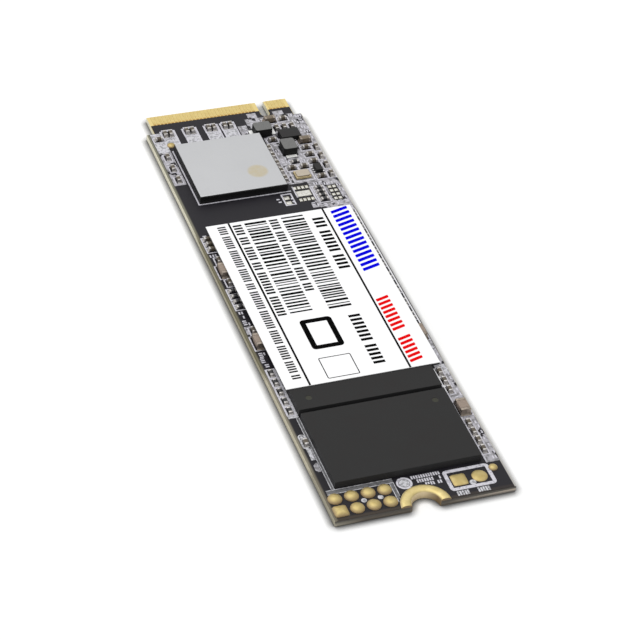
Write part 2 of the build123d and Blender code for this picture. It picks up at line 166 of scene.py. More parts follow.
def patch(bm, box, base, rise, corner=0.0, line=0.0, lean=0.0):  # a flat print, a frame if it has a line
    low, high = Vector(box[:2]) * mm, Vector(box[2:]) * mm
    sheet = roundedSheet(high - low, corner, 4)
    if lean:
        slant = Matrix(((1, 0, 0, 0), (lean, 1, 0, 0), (0, 0, 1, 0), (0, 0, 0, 1)))
        bmesh.ops.transform(sheet, matrix=slant, verts=sheet.verts[:])
    if line:
        hollow(sheet, line)
    middle = (low + high) / 2
    bmesh.ops.translate(sheet, vec=(middle.x, middle.y, base), verts=sheet.verts[:])
    layOn(bm, sheet, rise)


def disc(bm, middle, radius, base, rise, line=0.0):  # a round print, hollow if it has a line
    sheet = bmesh.new()
    bmesh.ops.create_circle(sheet, cap_ends=True, segments=roundSteps, radius=radius * mm)
    if line:
        hollow(sheet, line)
    bmesh.ops.translate(sheet, vec=(middle[0] * mm, middle[1] * mm, base), verts=sheet.verts[:])
    layOn(bm, sheet, rise)


# Finishes: small helpers for the shader nodes

def startFinish(name, roughness, metallic=0.0, specular=0.5):
    finish = bpy.data.materials.new(name)
    finish.use_nodes = True
    tree = finish.node_tree
    shader = tree.nodes["Principled BSDF"]
    shader.inputs["Roughness"].default_value = roughness
    shader.inputs["Metallic"].default_value = metallic
    shader.inputs["Specular IOR Level"].default_value = specular
    place = tree.nodes.new("ShaderNodeTexCoord").outputs["Object"]
    return finish, tree, shader, place


def addNode(tree, kind, sockets, **settings):  # sockets by name or number, each linked or filled
    node = tree.nodes.new(kind)
    for key, value in settings.items():
        setattr(node, key, value)
    for key, value in sockets.items():
        if isinstance(value, bpy.types.NodeSocket):
            tree.links.new(value, node.inputs[key])
        else:
            node.inputs[key].default_value = value
    return node


def sums(tree, operation, first, second=0.0):
    return addNode(tree, "ShaderNodeMath", {0: first, 1: second}, operation=operation).outputs[0]


def mixed(tree, share, first, second):  # two colours, by a share from 0 to 1
    tints = [value if isinstance(value, bpy.types.NodeSocket) else (*value, 1) for value in (first, second)]
    return addNode(tree, "ShaderNodeMix", {0: share, 6: tints[0], 7: tints[1]}, data_type="RGBA").outputs[2]


def ranged(tree, value, low, high, outLow=0.0, outHigh=1.0):
    sockets = {0: value, 1: low, 2: high, 3: outLow, 4: outHigh}
    return addNode(tree, "ShaderNodeMapRange", sockets).outputs[0]


def along(tree, value, first, last, outLow=0.0, outHigh=1.0):  # the same, between two places in millimetres
    return ranged(tree, value, first * mm, last * mm, outLow, outHigh)


def grain(tree, place, size, detail=2.0, stretch=(1, 1, 1)):  # noise in lumps of about size millimetres
    moved = addNode(tree, "ShaderNodeMapping", {"Vector": place, "Scale": stretch}).outputs[0]
    sockets = {"Vector": moved, "Scale": 1 / (size * mm), "Detail": detail}
    return addNode(tree, "ShaderNodeTexNoise", sockets).outputs[0]


def axes(tree, place):
    return addNode(tree, "ShaderNodeSeparateXYZ", {0: place}).outputs


def facing(tree):  # the surface's own direction
    return axes(tree, addNode(tree, "ShaderNodeNewGeometry", {}).outputs["Normal"])


def facingUp(tree, low=0.55, high=0.9):  # 1 on faces that look straight up or down, 0 on the sides
    return ranged(tree, sums(tree, "ABSOLUTE", facing(tree)["Z"]), low, high)


def setRelief(tree, shader, height, strength, depth):
    bump = addNode(tree, "ShaderNodeBump", {"Height": height, "Strength": strength, "Distance": depth * mm})
    tree.links.new(bump.outputs[0], shader.inputs["Normal"])


def link(tree, output, shader, socket):
    tree.links.new(output, shader.inputs[socket])


# Finishes of this card

def laminateFinish():  # woven glass fibre: pressed layers and flecks on the cut edges
    finish, tree, shader, place = startFinish("laminateFinish", 0.55, specular=0.3)
    fibre = {"layer": 0.18, "fleck": 0.12, "layerShare": 0.45, "fleckShare": 0.55}
    edges = (  # tints from the far end to the near end, lighter beside the memory, and where each one sets in
        {"pale": (0.86, 0.83, 0.67), "dark": (0.56, 0.53, 0.40)},
        {"pale": (0.49, 0.46, 0.35), "dark": (0.32, 0.29, 0.205), "span": (16.0, 8.0)},
        {"pale": (0.64, 0.60, 0.46), "dark": (0.41, 0.375, 0.27), "span": (-14.0, -15.5)},
        {"pale": (0.41, 0.38, 0.29), "dark": (0.26, 0.24, 0.17), "span": (-30.5, -32.5)},
    )
    lip = {"tint": (0.145, 0.13, 0.06), "height": (0.5, 0.68), "far": (14.0, 12.0), "near": (-15.0, -13.0)}
    nearShade = {  # near face painted darker as shade, lighter at its foot and towards both corners
        "top": (0.08, 0.073, 0.063), "foot": (0.155, 0.135, 0.108), "heights": (0.7, 0.3),
        "right": (0.32, 0.29, 0.255), "left": (0.40, 0.37, 0.295), "corner": (-7.5, -11.0),
        "from": -39.9, "turn": (-0.4, -0.8), "cover": 0.95,
    }
    streak = {"tint": (0.56, 0.485, 0.40), "height": 0.37, "half": (0.15, 0.05), "span": (2.5, 10.5)}
    tab = {"from": 36.0, "tint": (0.72, 0.57, 0.23)}  # resin between the contacts
    ledge = {"from": 10.9, "tint": (0.03, 0.028, 0.028)}  # darker rim beside the label, on faces looking up
    x, y, height = axes(tree, place)
    layers = sums(tree, "SINE", sums(tree, "MULTIPLY", height, 2 * math.pi / (fibre["layer"] * mm)))
    flecks = grain(tree, place, fibre["fleck"], 3, (0.35, 0.35, 1))
    layerShare = ranged(tree, layers, -1, 1, 0, fibre["layerShare"])
    fleckShare = ranged(tree, flecks, 0.35, 0.7, 0, fibre["fleckShare"])
    share = sums(tree, "ADD", layerShare, fleckShare)
    base = mixed(tree, share, edges[0]["pale"], edges[0]["dark"])
    for edge in edges[1:]:
        tone = mixed(tree, share, edge["pale"], edge["dark"])
        base = mixed(tree, along(tree, y, *edge["span"]), base, tone)
    beside = sums(tree, "MULTIPLY", along(tree, y, *lip["far"]), along(tree, y, *lip["near"]))
    onLip = sums(tree, "MULTIPLY", beside, along(tree, height, *lip["height"]))
    base = mixed(tree, onLip, base, lip["tint"])
    onLedge = sums(tree, "MULTIPLY", beside, sums(tree, "GREATER_THAN", x, ledge["from"] * mm))
    base = mixed(tree, sums(tree, "MULTIPLY", onLedge, facingUp(tree)), base, ledge["tint"])
    toRight = along(tree, x, *streak["span"])
    foot = mixed(tree, toRight, nearShade["foot"], nearShade["right"])
    foot = mixed(tree, along(tree, x, *nearShade["corner"]), foot, nearShade["left"])
    nearShadeTone = mixed(tree, along(tree, height, *nearShade["heights"]), nearShade["top"], foot)
    away = sums(tree, "ABSOLUTE", sums(tree, "SUBTRACT", height, streak["height"] * mm))
    onStreak = sums(tree, "MULTIPLY", along(tree, away, *streak["half"]), toRight)
    nearShadeTone = mixed(tree, onStreak, nearShadeTone, streak["tint"])
    # painted shade: faces looking to the near end, and the near top edge, take the darker near-face tone
    onNearShade = ranged(tree, facing(tree)["Y"], *nearShade["turn"], 0, nearShade["cover"])
    onNearShade = sums(tree, "MAXIMUM", onNearShade, sums(tree, "LESS_THAN", y, nearShade["from"] * mm))
    base = mixed(tree, onNearShade, base, nearShadeTone)
    onTab = sums(tree, "GREATER_THAN", y, tab["from"] * mm)
    onTab = sums(tree, "MULTIPLY", onTab, facingUp(tree))
    link(tree, mixed(tree, onTab, base, tab["tint"]), shader, "Base Color")
    setRelief(tree, shader, share, 0.25, 0.02)
    return finish


def maskFinish():  # near-black lacquer that thins along the long edges of the board
    finish, tree, shader, place = startFinish("maskFinish", 0.5, specular=0.2)
    look = {"black": (0.0100, 0.0090, 0.0125), "worn": (0.0135, 0.0122, 0.0165)}
    thin = (  # tints along the left edge, from the far end to the near end, and where each one sets in
        {"tint": (0.215, 0.21, 0.155)},
        {"tint": (0.165, 0.15, 0.095), "span": (15.0, 12.0)},
        {"tint": (0.235, 0.212, 0.158), "span": (-14.0, -15.5)},
        {"tint": (0.165, 0.145, 0.105), "span": (-30.5, -32.5)},
    )
    front = {  # along the near edge, weaker to the right
        "tint": (0.046, 0.035, 0.027), "span": (-39.4, -39.65), "across": (12.0, -6.0), "least": 0.35,
    }
    rim = {"tint": (0.58, 0.56, 0.54), "far": (13.5, 14.5), "near": (-16.0, -18.0)}  # on the right
    band = {"left": (-10.56, -10.82), "right": (10.8, 10.93)}
    x, y, _ = axes(tree, place)
    tint = thin[0]["tint"]
    for zone in thin[1:]:
        tint = mixed(tree, along(tree, y, *zone["span"]), tint, zone["tint"])
    cloud = grain(tree, place, 1.6, 4)
    base = mixed(tree, ranged(tree, cloud, 0.35, 0.7), look["black"], look["worn"])
    toLeft = along(tree, x, *front["across"], front["least"], 1)
    onFront = sums(tree, "MULTIPLY", along(tree, y, *front["span"]), toLeft)
    base = mixed(tree, onFront, base, front["tint"])
    base = mixed(tree, along(tree, x, *band["left"]), base, tint)
    onRim = sums(tree, "MAXIMUM", along(tree, y, *rim["far"]), along(tree, y, *rim["near"]))
    onRim = sums(tree, "MULTIPLY", onRim, along(tree, x, *band["right"]))
    link(tree, mixed(tree, onRim, base, rim["tint"]), shader, "Base Color")
    orange = grain(tree, place, 0.18, 2)
    link(tree, ranged(tree, cloud, 0.3, 0.7, 0.42, 0.54), shader, "Roughness")
    setRelief(tree, shader, orange, 0.12, 0.02)
    return finish


def goldFinish(name, tints, turn, roughness, rim=None, worn=None):  # plated gold; its slopes take a painted light and shade of their own
    finish, tree, shader, place = startFinish(name, roughness)
    cloud = grain(tree, place, 0.7, 3)
    fine = grain(tree, place, 0.05, 2, (1, 0.25, 1))
    top = mixed(tree, ranged(tree, cloud, 0.35, 0.72), tints["bright"], tints["deep"])
    if rim:  # browner towards an end
        top = mixed(tree, along(tree, axes(tree, place)["Y"], *rim), top, tints["rim"])
    slopeShading = tints["slopeShading"]
    if worn:  # painted shade on one side of the wall, and browner where the plating is cut
        x, y, _ = axes(tree, place)
        cut = sums(tree, "LESS_THAN", y, worn["cut"] * mm)
        slopeShading = mixed(tree, sums(tree, "MAXIMUM", along(tree, x, *worn["across"]), cut), slopeShading, worn["tint"])
    # painted light and shade: faces that turn away from the top take the slope tint
    onTop = facingUp(tree, *turn)
    link(tree, mixed(tree, onTop, slopeShading, top), shader, "Base Color")
    link(tree, onTop, shader, "Metallic")
    link(tree, ranged(tree, fine, 0.3, 0.7, roughness - 0.06, roughness + 0.08), shader, "Roughness")
    setRelief(tree, shader, fine, 0.15, 0.01)
    return finish


def tinFinish(name, bright, grey, roughness, metallic=1.0):
    finish, tree, shader, place = startFinish(name, roughness, metallic)
    cloud = grain(tree, place, 0.25, 3)
    link(tree, mixed(tree, ranged(tree, cloud, 0.4, 0.75), bright, grey), shader, "Base Color")
    link(tree, ranged(tree, cloud, 0.3, 0.7, roughness - 0.08, roughness + 0.1), shader, "Roughness")
    setRelief(tree, shader, grain(tree, place, 0.12, 2), 0.25, 0.02)
    return finish


def mouldFinish(name, top, side, roughness, smudge=0.86, sunk=None):  # matt grain, sides in a painted light and shade of their own, tinted marks
    finish, tree, shader, place = startFinish(name, roughness, specular=0.22)
    fine = grain(tree, place, 0.07, 2)
    cloud = grain(tree, place, 3.0, 4)
    warm = (top[0], top[1] * smudge, top[2] * smudge)
    up = mixed(tree, ranged(tree, cloud, 0.35, 0.7), top, warm)
    speck = mixed(tree, ranged(tree, fine, 0.62, 0.8, 0, 0.35), up, [value * 1.9 for value in top])
    if sunk:
        below = sums(tree, "LESS_THAN", axes(tree, place)["Z"], sunk["below"])
        speck = mixed(tree, sums(tree, "MULTIPLY", below, facingUp(tree, *sunk["turn"])), speck, sunk["tint"])
    # painted light and shade: the sides take their own tint, for how the light falls on them
    link(tree, mixed(tree, facingUp(tree), side, speck), shader, "Base Color")
    link(tree, ranged(tree, fine, 0.3, 0.7, roughness - 0.06, roughness + 0.08), shader, "Roughness")
    setRelief(tree, shader, fine, 0.35, 0.012)
    return finish


def lidFinish(spot):  # satin plated metal with one round tan stain
    finish, tree, shader, place = startFinish("lidFinish", 0.4, metallic=1.0)
    look = {"plate": (0.535, 0.54, 0.55), "shade": (0.52, 0.525, 0.535), "stain": (0.52, 0.455, 0.31)}
    brushed = grain(tree, place, 0.12, 3, (0.06, 1, 1))
    cloud = grain(tree, place, 5.0, 3)
    plate = mixed(tree, ranged(tree, cloud, 0.3, 0.7), look["plate"], look["shade"])
    x, y, _ = axes(tree, place)
    across = sums(tree, "SUBTRACT", x, spot["x"] * mm)
    down = sums(tree, "SUBTRACT", y, spot["y"] * mm)
    squared = sums(tree, "ADD", sums(tree, "POWER", across, 2), sums(tree, "POWER", down, 2))
    away = sums(tree, "SQRT", squared)
    reach = along(tree, away, spot["radius"], spot["radius"] - spot["soft"], 0, spot["strength"])
    blotch = sums(tree, "MULTIPLY", reach, ranged(tree, grain(tree, place, 0.5, 3), 0.2, 0.6, 0.6, 1.0))
    link(tree, mixed(tree, blotch, plate, look["stain"]), shader, "Base Color")
    link(tree, ranged(tree, brushed, 0.3, 0.7, 0.36, 0.46), shader, "Roughness")
    setRelief(tree, shader, brushed, 0.08, 0.01)
    return finish


def filmFinish():  # white label film
    finish, tree, shader, place = startFinish("filmFinish", 0.42, specular=0.35)
    look = {"white": (0.93, 0.93, 0.935), "dull": (0.90, 0.90, 0.91)}
    fibre = grain(tree, place, 0.3, 3)
    base = mixed(tree, ranged(tree, fibre, 0.35, 0.7), look["white"], look["dull"])
    link(tree, base, shader, "Base Color")
    setRelief(tree, shader, fibre, 0.06, 0.01)
    return finish


def printFinish(name, tint):  # ink on the label, a little uneven
    finish, tree, shader, place = startFinish(name, 0.7, specular=0.0)
    cloud = grain(tree, place, 0.12, 2)
    paler = [value * 0.9 + 0.004 for value in tint]
    link(tree, mixed(tree, ranged(tree, cloud, 0.45, 0.75), tint, paler), shader, "Base Color")
    return finish


def legendFinish(name, light, worn, size, cover, bare=None):  # light ink, worn or bare in places
    finish, tree, shader, place = startFinish(name, 0.6, specular=0.2)
    cloud = grain(tree, place, size, 3)
    ink = mixed(tree, ranged(tree, cloud, cover, cover + 0.12), light, worn)
    if bare:
        lacquer = (0.012, 0.011, 0.014)
        gone = ranged(tree, grain(tree, place, size * 2.2, 2, (1.3, 1, 1)), *bare)
        ink = mixed(tree, gone, ink, lacquer)
    link(tree, ink, shader, "Base Color")
    setRelief(tree, shader, cloud, 0.2, 0.01)
    return finish


def ferriteFinish():  # sintered block: grey top, near-black sides that are a painted shade
    finish, tree, shader, place = startFinish("ferriteFinish", 0.6, specular=0.2)
    look = {"top": (0.178, 0.178, 0.174), "pit": (0.13, 0.13, 0.128), "side": (0.012, 0.012, 0.012)}
    fine = grain(tree, place, 0.1, 3)
    top = mixed(tree, ranged(tree, fine, 0.35, 0.7), look["top"], look["pit"])
    # painted shade: faces that turn away from the top take the near-black side tint
    link(tree, mixed(tree, facingUp(tree), look["side"], top), shader, "Base Color")
    setRelief(tree, shader, fine, 0.3, 0.015)
    return finish


def ceramicFinish(name, light, dark, size, roughness=0.4):
    finish, tree, shader, place = startFinish(name, roughness, specular=0.4)
    speckle = grain(tree, place, size, 3)
    link(tree, mixed(tree, ranged(tree, speckle, 0.35, 0.7), light, dark), shader, "Base Color")
    setRelief(tree, shader, speckle, 0.12, 0.01)
    return finish


def canFinish():
    finish, tree, shader, place = startFinish("canFinish", 0.36, metallic=0.85)
    look = {"bright": (0.55, 0.49, 0.40), "shade": (0.44, 0.385, 0.31)}
    brushed = grain(tree, place, 0.08, 3, (0.1, 1, 1))
    link(tree, mixed(tree, brushed, look["bright"], look["shade"]), shader, "Base Color")
    setRelief(tree, shader, brushed, 0.1, 0.01)
    return finish


lidSpot = {"x": 0.5, "y": 23.27, "radius": 1.5, "soft": 0.35, "strength": 0.85}
# slope tints: a painted shade and dark reflection on the slopes of the contacts and pads, a painted light on
# the ring's wall
contactTints = {
    "bright": (0.71, 0.57, 0.24), "deep": (0.63, 0.48, 0.18),
    "slopeShading": (0.34, 0.20, 0.05), "rim": (0.54, 0.32, 0.09),
}
padTints = {"bright": (0.52, 0.42, 0.19), "deep": (0.45, 0.35, 0.14), "slopeShading": (0.38, 0.27, 0.13)}
ringTints = {"bright": (0.66, 0.55, 0.265), "deep": (0.58, 0.465, 0.195), "slopeShading": (0.85, 0.69, 0.42)}
contactGold = goldFinish("contactGold", contactTints, (0.55, 0.9), 0.4, rim=(38.25, 37.95))
padGold = goldFinish("padGold", padTints, (0.62, 0.98), 0.45)
# painted shade across one side of the ring's wall, and a browner cut end at the near edge
ringShadeAndCut = {"across": (0.3, 1.6), "cut": -39.97, "tint": (0.19, 0.125, 0.057)}
ringGold = goldFinish("ringGold", ringTints, (0.3, 0.9), 0.45, worn=ringShadeAndCut)
tin = tinFinish("tin", (0.82, 0.81, 0.81), (0.56, 0.55, 0.56), 0.32)
dullTin = tinFinish("dullTin", (0.60, 0.58, 0.56), (0.36, 0.34, 0.32), 0.4)
landTin = tinFinish("landTin", (0.74, 0.73, 0.69), (0.46, 0.44, 0.40), 0.38)
flatTin = tinFinish("flatTin", (0.93, 0.93, 0.91), (0.72, 0.72, 0.70), 0.5, 0.15)
# painted shade: the tin of the capacitor ends and their fillets is darkened to brown-grey
shadedBrownTin = tinFinish("shadedBrownTin", (0.36, 0.31, 0.26), (0.20, 0.165, 0.135), 0.45)
mask = maskFinish()
legendFresh = legendFinish("legendFresh", (0.84, 0.84, 0.86), (0.62, 0.61, 0.64), 0.3, 0.55)
legendLine = legendFinish("legendLine", (0.60, 0.59, 0.64), (0.37, 0.36, 0.40), 0.3, 0.52)
legendFaint = legendFinish("legendFaint", (0.58, 0.58, 0.61), (0.31, 0.31, 0.325), 0.34, 0.47)
legendFaded = legendFinish("legendFaded", (0.15, 0.15, 0.157), (0.095, 0.095, 0.10), 0.35, 0.5)
legendField = legendFinish("legendField", (0.41, 0.4, 0.43), (0.22, 0.215, 0.225), 0.55, 0.46, (0.56, 0.62))
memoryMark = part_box("memory_chip_1")[1].z - 0.02 * mm  # between the top and the floor of its round mark
sunkMark = {"below": memoryMark, "turn": (0.92, 0.98), "tint": (0.037, 0.037, 0.026)}
# the side tint is a painted light on the memory chips' sides
memoryTop, memorySideShading = (0.0155, 0.0155, 0.0154), (0.032, 0.032, 0.033)
memoryMould = mouldFinish("memoryMould", memoryTop, memorySideShading, 0.56, 0.92, sunkMark)
bodyMould = mouldFinish("bodyMould", (0.006, 0.006, 0.006), (0.009, 0.009, 0.009), 0.5)
chipMould = mouldFinish("chipMould", (0.020, 0.020, 0.020), (0.012, 0.012, 0.012), 0.55)
print("finishes ready")


# Bare board, its lacquer, its contacts and the covered cache chip keep their solids

def paint(nodeName, finish):
    mesh = nodes[nodeName].data
    mesh.materials.clear()
    mesh.materials.append(finish)


paint("pcb_laminate", laminateFinish())
for maskNode in ("solder_mask_top", "solder_mask_bottom"):
    paint(maskNode, mask)
for contactNode in ("edge_contacts_top", "edge_contacts_bottom"):
    paint(contactNode, contactGold)
paint("cache_chip", memoryMould)
print("board painted")


# Gold pads: a soft dome on each land

def isSquareLand(nodeName, low):  # a square land has a vertex in the corner of its box
    return any((vert.co.xy - low.xy).length < 1e-6 for vert in nodes[nodeName].data.vertices)


def lifted(bm, face, reach, climb):  # extrudes a face, narrows its far end about the origin and raises it
    grown = bmesh.ops.extrude_face_region(bm, geom=[face])["geom"]
    end = next(item for item in grown if isinstance(item, bmesh.types.BMFace))
    bmesh.ops.scale(bm, vec=(reach, reach, 1), verts=end.verts[:])
    bmesh.ops.translate(bm, vec=(0, 0, climb), verts=end.verts[:])
    return end


def addDome(bm, low, high, isSquare, pad, rise):  # a land, and a quarter of an ellipse raised from its rim
    wider = Vector((pad["spread"] * mm, pad["spread"] * mm, 0))
    size, middle = high - low + 2 * wider, (low + high) / 2
    if isSquare:
        dome = roundedSheet(size, pad["corner"], 5)
    else:
        dome = bmesh.new()
        bmesh.ops.create_circle(dome, cap_ends=True, segments=roundSteps, radius=size.x / 2)
    top = lifted(dome, next(iter(dome.faces)), 1, size.z)
    turns = [math.pi / 2 * ring / pad["rings"] for ring in range(pad["rings"])]
    for turn, following in zip(turns, turns[1:]):
        climb = rise * mm * (math.sin(following) - math.sin(turn))
        top = lifted(dome, top, math.cos(following) / math.cos(turn), climb)
    bmesh.ops.translate(dome, vec=(middle.x, middle.y, low.z), verts=dome.verts[:])
    joinInto(bm, dome)


goldPads = {
    "rings": 9, "corner": 0.36, "spread": 0.08,
    "rise": {"test_pads": 0.45, "link_pads": 0.2, "probe_pads": 0.3},
}
padMesh = bmesh.new()
for padNode, padRise in goldPads["rise"].items():
    for low, high in solidBoxes(padNode):
        addDome(padMesh, low, high, isSquareLand(padNode, low), goldPads, padRise)
finishPiece("goldPads", padMesh, padGold, list(goldPads["rise"]), smoothAngle=60)
print("gold pads made")


# Plated half-round screw hole: a rounded half spool

def spoolRing(ring):  # profile from the hole's foot round to the crown, spun half a turn
    low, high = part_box("mounting_hole_plating")
    inner, outer, wall = ring["hole"] * mm, high.x + ring["spread"] * mm, ring["wall"] * mm
    lip, crown = ring["lip"] * mm, ring["crown"] * mm
    middle, half = (inner + outer) / 2, (outer - inner) / 2
    profile = [
        (inner, low.z), (outer, low.z), (outer, low.z + lip), (inner + wall, low.z + lip),
        (inner + wall, high.z - lip), (outer, high.z - lip), (outer, high.z),
    ]
    for turn in (math.pi * step / ring["steps"] for step in range(1, ring["steps"])):
        rise = crown * math.sin(turn) ** ring["fullness"]
        profile.append((middle + half * math.cos(turn), high.z + rise))
    profile.append((inner, high.z - lip))
    bm = bmesh.new()
    bm.faces.new([bm.verts.new((x, low.y, z)) for x, z in profile])
    centre = (0, low.y, 0)
    bmesh.ops.spin(bm, geom=bm.faces[:], cent=centre, axis=(0, 0, 1), angle=math.pi, steps=ring["turns"])
    bmesh.ops.holes_fill(bm, edges=[edge for edge in bm.edges if edge.is_boundary], sides=0)
    return bm


holeRing = {
    "hole": 1.75, "wall": 0.05, "spread": 0.08, "lip": 0.04, "crown": 0.32, "fullness": 0.8,
    "steps": 14, "turns": 48,
}
finishPiece("holeRing", spoolRing(holeRing), ringGold, ["mounting_hole_plating"], smoothAngle=40)
print("screw hole made")


# Packages with softened edges: nodes, edge radius, segments, finish and slot
tanCeramic = ceramicFinish("tanCeramic", (0.62, 0.51, 0.28), (0.48, 0.385, 0.21), 0.2)
packages = {
    "controllerBody": (["controller_body"], 0.04, 2, bodyMould, "mould"),
    "controllerLid": (["controller_lid"], 0.03, 2, lidFinish(lidSpot), "lid"),
    "memoryChipFar": (["memory_chip_1"], 0.2, 4, memoryMould, "mould"),
    "memoryChipNear": (["memory_chip_2"], 0.2, 4, memoryMould, "mould"),
    "powerChip": (["power_chip"], 0.05, 2, chipMould, "mould"),
    "monitorChip": (["monitor_chip"], 0.05, 2, chipMould, "mould"),
    "inductorCores": (["inductor_cores"], 0.04, 2, ferriteFinish(), "ferrite"),
    "crystalBase": (["crystal_base"], 0.03, 2, tanCeramic, "crystal_base"),
    "crystalCan": (["crystal_can"], 0.06, 3, canFinish(), "crystal_can"),
    "chipLeads": (["power_chip_leads", "monitor_leads"], 0.03, 2, tin, "tin"),
    "inductorLands": (["inductor_terminals"], 0.04, 2, flatTin, "tin"),
    "spareLands": (["spare_lands"], 0.015, 2, landTin, "tin"),
    "labelFilm": (["label_film"], 0.02, 2, filmFinish(), "label"),
}
for packageName, (packageNodes, radius, steps, finish, slotName) in packages.items():
    softenedPiece(packageName, packageNodes, radius, steps, finish)
print("packages made:", len(packages))


# Chip parts: rounded bodies and end caps, with a solder fillet at each end

tanBody = ceramicFinish("tanBody", (0.31, 0.245, 0.195), (0.21, 0.16, 0.125), 0.18)
brownBody = ceramicFinish("brownBody", (0.18, 0.14, 0.095), (0.12, 0.093, 0.063), 0.15)
oliveBody = ceramicFinish("oliveBody", (0.11, 0.089, 0.062), (0.07, 0.057, 0.041), 0.15)
blackGlaze = ceramicFinish("blackGlaze", (0.02, 0.02, 0.022), (0.03, 0.03, 0.032), 0.15, 0.35)
chipParts = {
    "bulkCapacitor": {
        "node": "bulk_capacitor", "slot": "capacitor", "edge": 0.07, "fillet": 0.24,
        "body": tanBody, "ends": shadedBrownTin,
    },
    "mediumCapacitor": {
        "node": "medium_capacitor", "slot": "capacitor", "edge": 0.05, "fillet": 0.2,
        "body": brownBody, "ends": shadedBrownTin,
    },
    "smallCapacitor": {
        "node": "small_capacitor", "slot": "capacitor", "edge": 0.035, "fillet": 0.14,
        "body": oliveBody, "ends": dullTin,
    },
    "resistor": {
        "node": "resistor", "slot": "resistor", "edge": 0.03, "fillet": 0.14,
        "body": blackGlaze, "ends": dullTin,
    },
}
bodyEdge = 0.6  # the edges of a body, as a share of those of its ends
filletShape = {
    "climb": 0.6, "spread": 0.06,
    "curve": ((0, 0), (1, 0), (1, 0.1), (0.5, 0.25), (0.18, 0.6), (0, 1)),  # shares of its reach and climb
}


def addFillet(bm, end, outward, reach, fillet):  # a concave wedge of solder against the end of an end cap
    low, high = end
    size, middle = high - low, (low + high) / 2
    isAlongX = abs(outward.x) > abs(outward.y)
    width = (size.y if isAlongX else size.x) + fillet["spread"] * mm
    half = (size.x if isAlongX else size.y) / 2
    climb = size.z * fillet["climb"]
    wedge = bmesh.new()
    curve = [wedge.verts.new((x * reach, -width / 2, z * climb)) for x, z in fillet["curve"]]
    side = wedge.faces.new(curve)
    solid = bmesh.ops.extrude_face_region(wedge, geom=[side])["geom"]
    far = [item for item in solid if isinstance(item, bmesh.types.BMVert)]
    bmesh.ops.translate(wedge, vec=(0, width, 0), verts=far)
    foot = Vector((middle.x, middle.y, low.z)) + outward * half
    place = Matrix.Translation(foot) @ Matrix.Rotation(math.atan2(outward.y, outward.x), 4, "Z")
    bmesh.ops.transform(wedge, matrix=place, verts=wedge.verts[:])
    joinInto(bm, wedge)


def flat(low, high):  # ground box of a solid, in millimetres
    return tuple(value / mm for value in (low.x, low.y, high.x, high.y))


def flatBox(nodeName):
    return flat(*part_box(nodeName))


def grownBox(box, x, y):
    return (box[0] - x, box[1] - y, box[2] + x, box[3] + y)


partBoxes = []  # ground under each chip part
filletBoxes = []  # the same with its fillets
for partName, part in chipParts.items():
    bodyNode, endNode = f"{part['node']}_bodies", f"{part['node']}_terminals"
    softenedPiece(f"{partName}Bodies", [bodyNode], part["edge"] * bodyEdge, 2, part["body"])
    softenedPiece(f"{partName}Ends", [endNode], part["edge"], 2, part["ends"])
    ends = solidBoxes(endNode)
    fillets = bmesh.new()
    for low, high in solidBoxes(bodyNode):
        middle = (low + high) / 2
        pair = sorted(ends, key=lambda box: ((box[0] + box[1]) / 2 - middle).length)[:2]
        for end in pair:
            step = (end[0] + end[1]) / 2 - middle
            isAlongX = abs(step.x) > abs(step.y)
            outward = Vector((math.copysign(isAlongX, step.x), math.copysign(not isAlongX, step.y), 0))
            addFillet(fillets, end, outward, part["fillet"] * mm, filletShape)
        partBoxes.append(flat(*corners([corner for end in pair for corner in end])))
        reach, spread = part["fillet"], filletShape["spread"]
        filletBoxes.append(grownBox(partBoxes[-1], *((reach, spread) if isAlongX else (spread, reach))))
    finishPiece(f"{partName}Fillets", fillets, part["ends"], smoothAngle=50)
print("chip parts made:", len(partBoxes))


# Label print: rules, rows of plain strokes, two blocks of bars, blue and red slanted strokes, two frames
# Places run across from the film's left side and down from its far end
labelPrint = {
    "rise": 0.008,
    "margin": 0.03,
    "rules": {"across": (3.02, 15.77), "width": 0.26},
    "bars": {"across": ((4.97, 7.87), (9.92, 12.87)), "down": (0.55, 19.35), "thin": 0.16, "thick": 0.42},
    "rows": {  # across: first and last place down, pitch
        (1.32, 2.42): (0.55, 30.5, 0.44),
        (3.37, 4.52): (0.65, 18.85, 0.56),
        (8.22, 9.37): (0.65, 15.75, 0.56),
        (13.77, 15.27): (1.65, 12.85, 0.76),
        (11.72, 13.22): (21.15, 30.05, 0.76),
    },
    "slanted": {  # down: across, count, colour
        (0.45, 13.55): ((16.62, 19.02), 14, "blue"),
        (18.85, 25.45): ((16.12, 17.87), 8, "red"),
        (26.55, 31.45): ((16.12, 17.87), 6, "red"),
    },
    "stroke": {"share": 0.58, "gap": 0.7, "run": (3, 8)},  # shares of the pitch, strokes in a run
    "slant": {"share": 0.6, "corner": 0.1, "lean": 0.28},
    "frames": {(20.65, 26.25): (0.7, 0.5), (27.85, 31.65): (0.12, 0.2)},  # down: line, corner
    "frameAcross": (5.47, 9.57),
}
inks = {"black": (0.003, 0.003, 0.003), "blue": (0.001, 0.001, 0.70), "red": (0.76, 0.003, 0.005)}
film = flatBox("label_film")
prints = {tint: bmesh.new() for tint in inks}


def printAt(tint, across, down, **shape):
    box = (film[0] + across[0], film[3] - down[1], film[0] + across[1], film[3] - down[0])
    patch(prints[tint], box, labelTop, labelPrint["rise"], **shape)


def printBars(bars):
    for across in bars["across"]:
        at, last = bars["down"]
        while at < last:
            width = drawn.uniform(bars["thin"], bars["thick"])
            printAt("black", across, (at, at + width))
            at += width + drawn.uniform(bars["thin"], bars["thick"])


def printRow(across, at, last, pitch, stroke):  # equal strokes in runs of a few
    while at < last:
        for _ in range(drawn.randint(*stroke["run"])):
            printAt("black", across, (at, at + pitch * stroke["share"]))
            at += pitch
            if at > last:
                break
        at += pitch * stroke["gap"]


